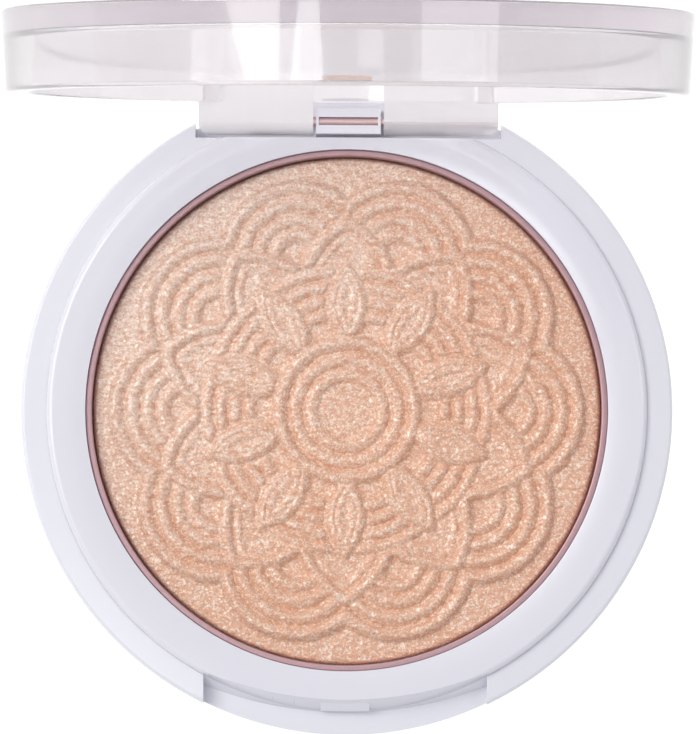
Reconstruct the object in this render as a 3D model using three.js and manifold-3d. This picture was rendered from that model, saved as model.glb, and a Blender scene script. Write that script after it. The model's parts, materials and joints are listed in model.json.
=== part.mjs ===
// A round powder compact: an opaque base with a snapped-in tray, a metal pan of pressed powder glued
// into the tray, and a clear lid that swings on one steel pin at the back.
// Millimetres. The origin is the centre of the underside, +Z is up, +Y points at the hinge.
// The lid is drawn shut, in its own frame on the hinge axis, and then turned open by LID_OPEN_DEG.

import * as THREE from "three";
import { mergeVertices } from "three/addons/utils/BufferGeometryUtils.js";
import Module from "manifold-3d";

// ---- driving dimensions --------------------------------------------------------------------------

const BASE_RADIUS = 34.0;
const BASE_FOOT_RADIUS = 33.5;
const BASE_HEIGHT = 7.0;
const BASE_FLOOR = 1.4;
const BASE_FOOT_ROUND = 1.1;
const BASE_LIP_ROUND = 0.4;
const BASE_BORE_RADIUS = 31.5;

const LABEL_RADIUS = 21.8;
const LABEL_THICKNESS = 0.2;
const LABEL_GAP = 0.15;

const TRAY_RADIUS = 31.35;
const TRAY_TOP = 7.8;
const TRAY_WELL_RADIUS = 27.25;
const TRAY_WELL_WALL = 0.7;
const TRAY_FLOOR_BOTTOM = 1.5;
const TRAY_FLOOR_TOP = 2.6;
const TRAY_DISH_RADIUS = 29.2;
const TRAY_DISH_EDGE = 6.95;
const TRAY_FLANGE = 1.1;
const TRAY_SKIRT_WALL = 1.1;
const TRAY_SKIRT_FOOT = 4.2;
const TRAY_LIP_ROUND = 0.25;

const PAN_RADIUS = 27.0;
const PAN_WALL = 0.4;
const PAN_FLOOR = 0.5;
const PAN_BOTTOM = 2.9;
const PAN_TOP = 7.05;

const POWDER_RADIUS = 26.45;
const POWDER_TOP = 6.75;
const POWDER_EDGE_DROP = 0.35;
const POWDER_EDGE_WIDTH = 0.7;
const POWDER_GAP = 0.05;

const GLUE_RADIUS = 2.6;
const GLUE_RING_RADIUS = 15.0;
const GLUE_DOTS = 4;

const HINGE_Y = 30.4;
const HINGE_Z = 5.2;
const HINGE_LUG_OUTER_X = 15.7;
const HINGE_LUG_INNER_X = 3.7;
const HINGE_BARREL_RADIUS = 1.45;
const HINGE_SIDE_GAP = 0.3;
const HINGE_BORE_RADIUS = 0.56;
const PIN_RADIUS = 0.45;
const PIN_HALF_LENGTH = 15.3;

const RECESS_HALF_WIDTH = HINGE_LUG_OUTER_X + HINGE_SIDE_GAP;
const RECESS_FRONT_Y = 28.45;
const RECESS_SHELF_Z = 3.45;
const RECESS_STEP_Y = 31.7;
const RECESS_DEEP_Z = 0.8;
const RECESS_SIDE_WALL = 1.6;

const LID_OPEN_DEG = 85;
const LID_MOUTH_RADIUS = 34.1;
const LID_FACE_RADIUS = 34.5;
const LID_MOUTH_Z = 7.2;
const LID_HEIGHT = 8.2;
const LID_PLATE = 2.2;
const LID_BORE_MOUTH_RADIUS = 31.75;
const LID_BORE_TOP_RADIUS = 31.55;
const LID_BORE_ROUND = 0.7;
const LID_EDGE_ROUND = 0.35;
const LUG_CORNER_ROUND = 1.2;

const NOTCH_HALF_WIDTH = 14.75;
const NOTCH_FLOOR_Z = 4.8;
const NOTCH_ARC_CENTRE_Y = 8.5;
const NOTCH_ARC_RADIUS = 40.0;
const NOTCH_WALL_RUN = 1.3;

const CATCH_HALF_WIDTH = 2.55;
const CATCH_STANDOUT = 0.3;
const CATCH_TOP_Z = 6.9;
const LID_CATCH_HALF_WIDTH = 2.3;
const LID_CATCH_STANDOUT = 0.35;
const LID_CATCH_HEIGHT = 0.8;

const ROUND_STEPS = 72;
const SMALL_STEPS = 20;
const CLEAR = 40;

// ---- finishes ------------------------------------------------------------------------------------

const shellPlastic = new THREE.MeshStandardMaterial({ color: 0xe4e5ee, roughness: 0.22, metalness: 0 });
const trayPlastic = new THREE.MeshStandardMaterial({ color: 0xe5e5ef, roughness: 0.2, metalness: 0 });
const clearPlastic = new THREE.MeshStandardMaterial({
  color: 0xf4f3f6,
  roughness: 0.05,
  metalness: 0,
  transparent: true,
  opacity: 0.3,
});
const panMetal = new THREE.MeshStandardMaterial({ color: 0xcdc6c6, roughness: 0.3, metalness: 1 });
const pinMetal = new THREE.MeshStandardMaterial({ color: 0xbdb6b8, roughness: 0.25, metalness: 1 });
const powderCake = new THREE.MeshStandardMaterial({ color: 0xdeb49e, roughness: 0.45, metalness: 0.1 });
const glueDrop = new THREE.MeshStandardMaterial({ color: 0xece4cf, roughness: 0.4, metalness: 0 });
const labelPaper = new THREE.MeshStandardMaterial({ color: 0xf2f2f2, roughness: 0.6, metalness: 0 });

// ---- solids --------------------------------------------------------------------------------------

const wasm = await Module();
wasm.setup();

/** A three.js geometry with merged corners, as a solid that can be cut and joined. */
function solid(geometry) {
  geometry.deleteAttribute("normal");
  geometry.deleteAttribute("uv");
  const merged = mergeVertices(geometry, 1e-5);
  const vertProperties = new Float32Array(merged.attributes.position.array);
  const triVerts = new Uint32Array(merged.index.array);
  return new wasm.Manifold(new wasm.Mesh({ numProp: 3, vertProperties, triVerts }));
}

/** A solid turned back into a three.js geometry. */
function geometryOf(shape) {
  const mesh = shape.getMesh();
  const geometry = new THREE.BufferGeometry();
  geometry.setAttribute("position", new THREE.BufferAttribute(new Float32Array(mesh.vertProperties), 3));
  geometry.setIndex(new THREE.BufferAttribute(new Uint32Array(mesh.triVerts), 1));
  geometry.computeVertexNormals();
  return geometry;
}

/** Points on a circle's arc in the profile plane, from one angle to another in degrees. */
function arc(centreR, centreZ, radius, fromDeg, toDeg, steps = 3) {
  const points = [];
  for (let i = 0; i <= steps; i += 1) {
    const angle = THREE.MathUtils.degToRad(fromDeg + ((toDeg - fromDeg) * i) / steps);
    points.push([centreR + radius * Math.cos(angle), centreZ + radius * Math.sin(angle)]);
  }
  return points;
}

/** A solid of revolution about Z. The profile runs outwards along the bottom and back over the top. */
function turned(profile, steps = ROUND_STEPS) {
  const points = profile.map(([r, z]) => new THREE.Vector2(r, z));
  const geometry = new THREE.LatheGeometry(points, steps);
  geometry.rotateX(Math.PI / 2);
  return solid(geometry);
}

/** A rectangular block between two corners. */
function block(low, high) {
  const size = high.map((value, i) => value - low[i]);
  const geometry = new THREE.BoxGeometry(...size);
  geometry.translate(...low.map((value, i) => value + size[i] / 2));
  return solid(geometry);
}

/** An outline in the Y-Z plane, drawn out along X between two planes. */
function alongX(outline, fromX, toX) {
  const geometry = new THREE.ExtrudeGeometry(outline, { depth: toX - fromX, bevelEnabled: false, curveSegments: 8 });
  const swap = new THREE.Matrix4();
  swap.set(0, 0, 1, fromX, 1, 0, 0, 0, 0, 1, 0, 0, 0, 0, 0, 1);
  geometry.applyMatrix4(swap);
  return solid(geometry);
}

/** A round rod along X, centred on the hinge frame's axis. */
function rodAlongX(radius, fromX, toX, steps = SMALL_STEPS) {
  const geometry = new THREE.CylinderGeometry(radius, radius, toX - fromX, steps);
  geometry.rotateZ(Math.PI / 2);
  geometry.translate((fromX + toX) / 2, 0, 0);
  return solid(geometry);
}

/** Everything outside the thumb notch's curved, leaning wall, between the notch's two ends. */
function notchCutter() {
  const wallTopRadius = NOTCH_ARC_RADIUS - NOTCH_WALL_RUN;
  const lean = NOTCH_WALL_RUN / (TRAY_TOP - NOTCH_FLOOR_Z);
  const over = 1;
  const ring = turned([
    [NOTCH_ARC_RADIUS, NOTCH_FLOOR_Z],
    [NOTCH_ARC_RADIUS + 10, NOTCH_FLOOR_Z],
    [NOTCH_ARC_RADIUS + 10, TRAY_TOP + over],
    [wallTopRadius - lean * over, TRAY_TOP + over],
    [NOTCH_ARC_RADIUS, NOTCH_FLOOR_Z],
  ], 2 * ROUND_STEPS);
  const front = block([-NOTCH_HALF_WIDTH, -CLEAR, 0], [NOTCH_HALF_WIDTH, -BASE_RADIUS / 2, CLEAR]);
  return ring.translate([0, NOTCH_ARC_CENTRE_Y, 0]).intersect(front);
}

/** The space at the back that the lid's lugs and rear wall swing through. */
function hingeRecess() {
  const shelf = block([-RECESS_HALF_WIDTH, RECESS_FRONT_Y, RECESS_SHELF_Z], [RECESS_HALF_WIDTH, CLEAR, CLEAR]);
  const deep = block([-RECESS_HALF_WIDTH, RECESS_STEP_Y, RECESS_DEEP_Z], [RECESS_HALF_WIDTH, CLEAR, CLEAR]);
  return shelf.add(deep);
}

/** The base's centre knuckle: a barrel on the hinge axis standing on a foot. */
function knuckle() {
  const outline = new THREE.Shape();
  outline.moveTo(-HINGE_BARREL_RADIUS, 0);
  outline.lineTo(-HINGE_BARREL_RADIUS, RECESS_SHELF_Z - HINGE_Z - 0.5);
  outline.lineTo(HINGE_BARREL_RADIUS * 0.8, RECESS_SHELF_Z - HINGE_Z - 0.5);
  outline.lineTo(HINGE_BARREL_RADIUS, 0);
  outline.absarc(0, 0, HINGE_BARREL_RADIUS, 0, Math.PI, false);
  const reach = HINGE_LUG_INNER_X - HINGE_SIDE_GAP;
  const barrel = alongX(outline, -reach, reach);
  return barrel.subtract(rodAlongX(HINGE_BORE_RADIUS, -CLEAR, CLEAR)).translate([0, HINGE_Y, HINGE_Z]);
}

// ---- pieces --------------------------------------------------------------------------------------

/** The outer base: a shallow cup with the hinge pocket at the back and the thumb notch at the front. */
function baseShell() {
  const cup = turned([
    [0, LABEL_THICKNESS],
    [LABEL_RADIUS + LABEL_GAP, LABEL_THICKNESS],
    [LABEL_RADIUS + LABEL_GAP, 0],
    ...arc(BASE_FOOT_RADIUS - BASE_FOOT_ROUND, BASE_FOOT_ROUND, BASE_FOOT_ROUND, -90, 0, 4),
    ...arc(BASE_RADIUS - BASE_LIP_ROUND, BASE_HEIGHT - BASE_LIP_ROUND, BASE_LIP_ROUND, 0, 90),
    [BASE_BORE_RADIUS, BASE_HEIGHT],
    [BASE_BORE_RADIUS, BASE_FLOOR],
    [0, BASE_FLOOR],
  ]);
  const pocketReach = RECESS_HALF_WIDTH + RECESS_SIDE_WALL;
  const pocket = block([-pocketReach, RECESS_FRONT_Y + 0.3, BASE_FLOOR / 2], [pocketReach, CLEAR, BASE_HEIGHT]);
  const inside = turned([[0, 0], [BASE_BORE_RADIUS + 1, 0], [BASE_BORE_RADIUS + 1, BASE_HEIGHT], [0, BASE_HEIGHT]]);
  return cup
    .add(pocket.intersect(inside))
    .subtract(hingeRecess())
    .subtract(notchCutter())
    .add(knuckle());
}

/** The snapped-in tray: pan well, dished ring, raised platform, skirt, and the front catch. */
function innerTray() {
  const wellOuter = TRAY_WELL_RADIUS + TRAY_WELL_WALL;
  const flangeUnder = TRAY_TOP - TRAY_FLANGE;
  const skirtInner = TRAY_RADIUS - TRAY_SKIRT_WALL;
  const body = turned([
    [0, TRAY_FLOOR_BOTTOM],
    [wellOuter, TRAY_FLOOR_BOTTOM],
    [wellOuter, flangeUnder - 0.8],
    [skirtInner, flangeUnder],
    [skirtInner, TRAY_SKIRT_FOOT],
    [TRAY_RADIUS, TRAY_SKIRT_FOOT],
    ...arc(TRAY_RADIUS - TRAY_LIP_ROUND, TRAY_TOP - TRAY_LIP_ROUND, TRAY_LIP_ROUND, 0, 90),
    [TRAY_DISH_RADIUS, TRAY_TOP],
    [TRAY_WELL_RADIUS + 0.5, TRAY_DISH_EDGE + 0.15],
    [TRAY_WELL_RADIUS, TRAY_DISH_EDGE - 0.25],
    [TRAY_WELL_RADIUS, TRAY_FLOOR_TOP],
    [0, TRAY_FLOOR_TOP],
  ]);
  const catchOutline = new THREE.Shape();
  const wallFootY = NOTCH_ARC_CENTRE_Y - NOTCH_ARC_RADIUS;
  const lean = NOTCH_WALL_RUN / (TRAY_TOP - NOTCH_FLOOR_Z);
  const catchBottomZ = NOTCH_FLOOR_Z + 0.2;
  catchOutline.moveTo(wallFootY + 2.4, catchBottomZ);
  catchOutline.lineTo(wallFootY + 2.4, CATCH_TOP_Z);
  catchOutline.lineTo(wallFootY + lean * (CATCH_TOP_Z - NOTCH_FLOOR_Z), CATCH_TOP_Z);
  catchOutline.lineTo(wallFootY + lean - CATCH_STANDOUT, catchBottomZ + 0.9);
  catchOutline.lineTo(wallFootY + lean * 0.2, catchBottomZ);
  const frontCatch = alongX(catchOutline, -CATCH_HALF_WIDTH, CATCH_HALF_WIDTH);
  return body.subtract(hingeRecess()).subtract(notchCutter()).add(frontCatch);
}

/** The shallow pressed pan that holds the powder. */
function powderPan() {
  const inner = PAN_RADIUS - PAN_WALL;
  return turned([
    [0, PAN_BOTTOM],
    ...arc(PAN_RADIUS - 0.6, PAN_BOTTOM + 0.6, 0.6, -90, 0, 2),
    ...arc(PAN_RADIUS - PAN_WALL / 2, PAN_TOP - PAN_WALL / 2, PAN_WALL / 2, 0, 180, 4),
    [inner, PAN_BOTTOM + PAN_FLOOR],
    [0, PAN_BOTTOM + PAN_FLOOR],
  ]);
}

/** The pressed cake, with a softened edge. */
function pressedPowder() {
  const bottom = PAN_BOTTOM + PAN_FLOOR + POWDER_GAP;
  return turned([
    [0, bottom],
    [POWDER_RADIUS, bottom],
    [POWDER_RADIUS, POWDER_TOP - POWDER_EDGE_DROP],
    [POWDER_RADIUS - POWDER_EDGE_WIDTH, POWDER_TOP],
    [0, POWDER_TOP],
  ]);
}

/** One flattened drop of glue between the tray's floor and the pan. */
function glueDot() {
  const height = PAN_BOTTOM - TRAY_FLOOR_TOP;
  return turned([
    [0, 0],
    [GLUE_RADIUS - 0.1, 0],
    [GLUE_RADIUS, height / 2],
    [GLUE_RADIUS - 0.1, height],
    [0, height],
  ], SMALL_STEPS);
}

/** The blank paper label, flush with the underside. */
function bottomLabel() {
  return turned([[0, 0], [LABEL_RADIUS, 0], [LABEL_RADIUS, LABEL_THICKNESS], [0, LABEL_THICKNESS]]);
}

/** One of the lid's two lugs, with the full-height block that joins it to the wall and the ceiling. */
function lidLug(side) {
  const mouth = LID_MOUTH_Z - HINGE_Z;
  const ceiling = mouth + LID_HEIGHT - LID_PLATE / 2;
  const section = new THREE.Shape();
  section.moveTo(HINGE_BARREL_RADIUS, 0);
  section.lineTo(HINGE_BARREL_RADIUS, ceiling);
  section.lineTo(-HINGE_BARREL_RADIUS, ceiling);
  section.lineTo(-HINGE_BARREL_RADIUS, 0);
  section.absarc(0, 0, HINGE_BARREL_RADIUS, Math.PI, 2 * Math.PI, false);
  const lug = alongX(section, HINGE_LUG_INNER_X, HINGE_LUG_OUTER_X);
  const face = new THREE.Shape();
  const low = -HINGE_BARREL_RADIUS - 0.01;
  const outer = HINGE_LUG_OUTER_X;
  face.moveTo(HINGE_LUG_INNER_X - 1, low);
  face.lineTo(outer - LUG_CORNER_ROUND, low);
  face.absarc(outer - LUG_CORNER_ROUND, low + LUG_CORNER_ROUND, LUG_CORNER_ROUND, -Math.PI / 2, 0, false);
  face.lineTo(outer, CLEAR);
  face.lineTo(HINGE_LUG_INNER_X - 1, CLEAR);
  const faceGeometry = new THREE.ExtrudeGeometry(face, { depth: 4 * CLEAR, bevelEnabled: false, curveSegments: 6 });
  faceGeometry.rotateX(Math.PI / 2);
  faceGeometry.translate(0, 2 * CLEAR, 0);
  const rounded = lug.intersect(solid(faceGeometry));
  const wallFill = block([HINGE_LUG_INNER_X, 0, mouth], [HINGE_LUG_OUTER_X, CLEAR, ceiling]);
  const wallRadius = (LID_BORE_TOP_RADIUS + LID_MOUTH_RADIUS) / 2;
  const insideWall = turned([[0, -CLEAR], [wallRadius, -CLEAR], [wallRadius, CLEAR], [0, CLEAR]]);
  const filled = rounded.add(wallFill.intersect(insideWall.translate([0, -HINGE_Y, 0])));
  return side > 0 ? filled : filled.mirror([1, 0, 0]);
}

/** The clear lid, shut, with the hinge axis at the origin of its frame. */
function lidShell() {
  const mouth = LID_MOUTH_Z - HINGE_Z;
  const top = mouth + LID_HEIGHT;
  const ceiling = top - LID_PLATE;
  const edge = LID_EDGE_ROUND;
  const cup = turned([
    [0, ceiling],
    ...arc(LID_BORE_TOP_RADIUS - LID_BORE_ROUND, ceiling - LID_BORE_ROUND, LID_BORE_ROUND, 90, 0),
    [LID_BORE_MOUTH_RADIUS, mouth],
    ...arc(LID_MOUTH_RADIUS - edge, mouth + edge, edge, -90, 0, 2),
    ...arc(LID_FACE_RADIUS - edge, top - edge, edge, 0, 90, 2),
    [0, top],
  ]).translate([0, -HINGE_Y, 0]);
  const frontInner = -HINGE_Y - LID_BORE_MOUTH_RADIUS;
  const bump = new THREE.Shape();
  bump.moveTo(frontInner - 1, mouth + 0.1);
  bump.lineTo(frontInner + 0.05, mouth + 0.1);
  bump.lineTo(frontInner + LID_CATCH_STANDOUT, mouth + 0.1 + LID_CATCH_HEIGHT / 2);
  bump.lineTo(frontInner + 0.05, mouth + 0.1 + LID_CATCH_HEIGHT);
  bump.lineTo(frontInner - 1, mouth + 0.1 + LID_CATCH_HEIGHT);
  return cup
    .add(lidLug(1))
    .add(lidLug(-1))
    .add(alongX(bump, -LID_CATCH_HALF_WIDTH, LID_CATCH_HALF_WIDTH))
    .subtract(rodAlongX(HINGE_BORE_RADIUS, -PIN_HALF_LENGTH - 0.1, CLEAR));
}

// ---- assembly ------------------------------------------------------------------------------------

/** A named piece of the assembly. */
function piece(name, shape, material) {
  const mesh = new THREE.Mesh(geometryOf(shape), material);
  mesh.name = name;
  return mesh;
}

const compact = new THREE.Group();
compact.add(piece("base_shell", baseShell(), shellPlastic));
compact.add(piece("inner_tray", innerTray(), trayPlastic));
compact.add(piece("powder_pan", powderPan(), panMetal));
compact.add(piece("pressed_powder", pressedPowder(), powderCake));
compact.add(piece("bottom_label", bottomLabel(), labelPaper));

for (let i = 0; i < GLUE_DOTS; i += 1) {
  const angle = (2 * Math.PI * (i + 0.5)) / GLUE_DOTS;
  const dot = piece(`glue_dot_${i + 1}`, glueDot(), glueDrop);
  dot.position.set(GLUE_RING_RADIUS * Math.cos(angle), GLUE_RING_RADIUS * Math.sin(angle), TRAY_FLOOR_TOP);
  compact.add(dot);
}

const pin = piece("hinge_pin", rodAlongX(PIN_RADIUS, -PIN_HALF_LENGTH, PIN_HALF_LENGTH), pinMetal);
pin.position.set(0, HINGE_Y, HINGE_Z);
compact.add(pin);

const lidFrame = new THREE.Group();
lidFrame.position.set(0, HINGE_Y, HINGE_Z);
lidFrame.rotation.x = -THREE.MathUtils.degToRad(LID_OPEN_DEG);
lidFrame.add(piece("lid_shell", lidShell(), clearPlastic));
compact.add(lidFrame);

export default compact;
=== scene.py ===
"""A round powder compact, open: glossy base and tray, metal pan of embossed shimmer powder, thick clear lid.

The compact's own classes hold millimetres. The meshes and the studio are in metres.
+Z is up and +Y points at the hinge.
"""
import json
import logging
import math
from dataclasses import dataclass, field
from enum import Enum

import bmesh
import bpy
from bpy.types import Material, Mesh, Node, NodeTree, Object
from mathutils import Matrix, Vector


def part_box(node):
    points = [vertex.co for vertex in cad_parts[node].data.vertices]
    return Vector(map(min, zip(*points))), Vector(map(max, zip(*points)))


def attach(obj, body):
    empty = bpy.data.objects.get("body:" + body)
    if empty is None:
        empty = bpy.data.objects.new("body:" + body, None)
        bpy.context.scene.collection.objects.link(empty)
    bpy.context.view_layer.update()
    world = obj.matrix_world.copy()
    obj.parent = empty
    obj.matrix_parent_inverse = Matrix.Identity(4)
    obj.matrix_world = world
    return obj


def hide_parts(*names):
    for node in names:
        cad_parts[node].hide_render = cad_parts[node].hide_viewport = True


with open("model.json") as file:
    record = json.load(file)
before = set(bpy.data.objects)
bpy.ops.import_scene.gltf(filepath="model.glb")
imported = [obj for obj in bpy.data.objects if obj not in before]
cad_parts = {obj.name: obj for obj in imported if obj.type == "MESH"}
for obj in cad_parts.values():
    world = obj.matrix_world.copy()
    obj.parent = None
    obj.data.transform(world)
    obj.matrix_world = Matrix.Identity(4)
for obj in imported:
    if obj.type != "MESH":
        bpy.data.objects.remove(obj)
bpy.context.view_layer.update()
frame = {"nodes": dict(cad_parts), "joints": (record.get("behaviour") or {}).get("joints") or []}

MM = 0.001
FAR = 60.0        # millimetres: beyond every edge of the compact
WELD = 1e-7       # metres: corners closer than this are one
CUT_WELD = 2e-6   # metres: the same, after boolean cuts
LOG = logging.getLogger("compact")

Profile = list[tuple[float, float]]
Radii = tuple[float, ...]
Colour = tuple[float, float, float]


class Cut(Enum):
    """How one solid is joined with another."""

    AWAY = "DIFFERENCE"
    TOGETHER = "UNION"
    COMMON = "INTERSECT"


# ---- node trees ----


class Term:
    """One number or colour socket of a node tree, so that node maths reads as arithmetic."""

    def __init__(self, graph: "Graph", socket: bpy.types.NodeSocket) -> None:
        """Keeps the socket and the graph that it belongs to."""
        self.graph = graph
        self.socket = socket

    def __add__(self, other: "Term | float") -> "Term":
        """Sum."""
        return self.graph.maths("ADD", self, other)

    def __sub__(self, other: "Term | float") -> "Term":
        """Difference."""
        return self.graph.maths("SUBTRACT", self, other)

    def __mul__(self, other: "Term | float") -> "Term":
        """Product."""
        return self.graph.maths("MULTIPLY", self, other)

    def __truediv__(self, other: "Term | float") -> "Term":
        """Quotient."""
        return self.graph.maths("DIVIDE", self, other)

    def __rsub__(self, other: float) -> "Term":
        """A number less this term."""
        return self.graph.maths("SUBTRACT", other, self)

    def __abs__(self) -> "Term":
        """Size without sign."""
        return self.graph.maths("ABSOLUTE", self)

    __radd__ = __add__
    __rmul__ = __mul__


class Graph:
    """Builds the nodes of one shader or geometry tree."""

    def __init__(self, tree: NodeTree) -> None:
        """Keeps the tree to build in."""
        self.tree = tree

    def node(self, kind: str, settings: dict | None = None, inputs: dict | None = None) -> Node:
        """Adds one node.

        Args:
            kind: the node's type, such as ShaderNodeTexNoise.
            settings: properties to set first; "stops" holds a colour ramp's positions and colours.
            inputs: socket name or number to a value or a Term.

        Returns:
            The new node.
        """
        made = self.tree.nodes.new(kind)
        for key, value in (settings or {}).items():
            if key == "stops":
                self._stops(made.color_ramp, value)
            else:
                setattr(made, key, value)
        for key, value in (inputs or {}).items():
            if isinstance(value, Term):
                self.tree.links.new(value.socket, made.inputs[key])
            else:
                made.inputs[key].default_value = value
        return made

    @staticmethod
    def _stops(ramp: bpy.types.ColorRamp, stops: list[tuple[float, Colour]]) -> None:
        """Sets a colour ramp's stops.

        Args:
            ramp: the ramp of a new node.
            stops: each stop's position and colour, in order.
        """
        while len(ramp.elements) < len(stops):
            ramp.elements.new(1.0)
        for element, (place, colour) in zip(ramp.elements, stops):
            element.position = place
            element.color = (*colour, 1.0)

    def out(self, node: Node, name: str | int = 0) -> Term:
        """One output of a node as a Term."""
        return Term(self, node.outputs[name])

    def maths(self, operation: str, *values: "Term | float", clamp: bool = False) -> Term:
        """Adds a Math node.

        Args:
            operation: what the node does, such as ADD.
            values: its operands, in order.
            clamp: whether the result is kept between 0 and 1.

        Returns:
            The node's result.
        """
        settings = {"operation": operation, "use_clamp": clamp}
        return self.out(self.node("ShaderNodeMath", settings, dict(enumerate(values))))

    def parts(self, vector: Term) -> list[Term]:
        """The X, Y and Z of a vector."""
        made = self.node("ShaderNodeSeparateXYZ", {}, {0: vector})
        return [self.out(made, i) for i in range(3)]

    def vector(self, *values: Term) -> Term:
        """A vector of up to three values."""
        return self.out(self.node("ShaderNodeCombineXYZ", {}, dict(enumerate(values))))

    def hypot(self, a: Term, b: Term) -> Term:
        """Length of the vector (a, b)."""
        return self.maths("SQRT", a * a + b * b)

    def inside(self, distance: Term, soft: float) -> Term:
        """1 where a signed distance is negative, 0 where it is positive, blended over soft."""
        return self.maths("ADD", distance * (-1.0 / soft), 0.5, clamp=True)

    def blend(self, a: Term, b: Term, share: Term) -> Term:
        """a where share is 0 and b where it is 1."""
        return a + (b - a) * share

    def mix(self, a: "Term | Colour", b: "Term | Colour", share: "Term | float") -> Term:
        """Mixes two colours.

        Args:
            a: the colour where share is 0.
            b: the colour where share is 1.
            share: how much of b there is.

        Returns:
            The mixed colour.
        """
        first, second = (end if isinstance(end, Term) else (*end, 1.0) for end in (a, b))
        made = self.node("ShaderNodeMix", {"data_type": "RGBA"}, {0: share, 6: first, 7: second})
        return self.out(made, 2)


class Dress:
    """A material under construction: its graph, its shader and the piece's own coordinates."""

    def __init__(self, name: str) -> None:
        """Starts a material with one Principled shader.

        Args:
            name: the material's name.
        """
        self.material = bpy.data.materials.new(name)
        self.material.use_nodes = True
        tree = self.material.node_tree
        tree.nodes.clear()
        self.graph = Graph(tree)
        self.output = self.graph.node("ShaderNodeOutputMaterial")
        self.shader = self.graph.node("ShaderNodeBsdfPrincipled")
        tree.links.new(self.shader.outputs[0], self.output.inputs["Surface"])
        self.place = self.graph.out(self.graph.node("ShaderNodeTexCoord"), "Object")

    def set(self, **inputs: "Term | float | Colour") -> None:
        """Sets or links the shader's inputs.

        Args:
            inputs: each input's value or link; an underscore in its name stands for a space.
        """
        for key, value in inputs.items():
            socket = self.shader.inputs[key.replace("_", " ")]
            if isinstance(value, Term):
                self.graph.tree.links.new(value.socket, socket)
            elif isinstance(value, tuple) and len(value) == 3 and socket.type == "RGBA":
                socket.default_value = (*value, 1.0)
            else:
                socket.default_value = value

    def noise(self, cycles_per_mm: float, detail: float = 3.0, squash: tuple = (1.0, 1.0, 1.0)) -> Term:
        """Smooth noise on the piece's own coordinates.

        Args:
            cycles_per_mm: how fine the noise is.
            detail: how many finer layers it has.
            squash: a factor for each axis; a small one draws the noise out along its axis.

        Returns:
            The noise, from 0 to 1.
        """
        mapped = self.graph.node("ShaderNodeMapping", {}, {"Vector": self.place, "Scale": squash})
        inputs = {"Vector": self.graph.out(mapped), "Scale": cycles_per_mm / MM, "Detail": detail}
        return self.graph.out(self.graph.node("ShaderNodeTexNoise", {}, inputs), "Fac")

    def cells(self, cells_per_mm: float) -> Term:
        """Voronoi cells on the piece's own coordinates.

        Args:
            cells_per_mm: how fine the cells are.

        Returns:
            Each cell's own random colour.
        """
        inputs = {"Vector": self.place, "Scale": cells_per_mm / MM}
        return self.graph.out(self.graph.node("ShaderNodeTexVoronoi", {}, inputs), "Color")

    def channel(self, colour: Term, name: str = "Red") -> Term:
        """One channel of a colour."""
        return self.graph.out(self.graph.node("ShaderNodeSeparateColor", {}, {"Color": colour}), name)

    def bump(self, height: Term, depth_mm: float, strength: float = 1.0, after: Term | None = None) -> Term:
        """Bends the normal by a height.

        Args:
            height: the height, from 0 to 1.
            depth_mm: what a height of 1 measures.
            strength: the share of the bend that is used.
            after: a normal that is already bent.

        Returns:
            The bent normal.
        """
        inputs = {"Height": height, "Distance": depth_mm * MM, "Strength": strength}
        if after is not None:
            inputs["Normal"] = after
        return self.graph.out(self.graph.node("ShaderNodeBump", {}, inputs), "Normal")


# ---- finishes ----


def srgb(red: int, green: int, blue: int) -> Colour:
    """Turns a display colour into the linear colour that shaders take.

    Args:
        red: the red part, from 0 to 255.
        green: the green part.
        blue: the blue part.

    Returns:
        The linear colour, from 0 to 1.
    """
    parts = []
    for value in (red, green, blue):
        part = value / 255
        parts.append(part / 12.92 if part <= 0.04045 else ((part + 0.055) / 1.055) ** 2.4)
    return tuple(parts)


@dataclass(frozen=True)
class MouldedPlastic:
    """Opaque gloss moulding with the faint ripple and tone drift of a real one."""

    name: str
    colour: Colour
    shade: Colour
    roughness: float = 0.2
    roughness_swing: float = 0.06
    drift_per_mm: float = 0.06
    grain_per_mm: float = 1.6
    ripple_per_mm: float = 0.35
    ripple_mm: float = 0.004

    def make(self) -> Material:
        """Builds the material.

        Returns:
            The material.
        """
        dress = Dress(self.name)
        drift = dress.noise(self.drift_per_mm, 2.0)
        grain = dress.noise(self.grain_per_mm, 2.0)
        smoothest = self.roughness - self.roughness_swing / 2
        dress.set(
            Base_Color=dress.graph.mix(self.shade, self.colour, drift),
            Roughness=dress.graph.maths("ADD", grain * self.roughness_swing, smoothest),
            Normal=dress.bump(dress.noise(self.ripple_per_mm, 1.0), self.ripple_mm),
            IOR=1.5,
        )
        return dress.material


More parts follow.
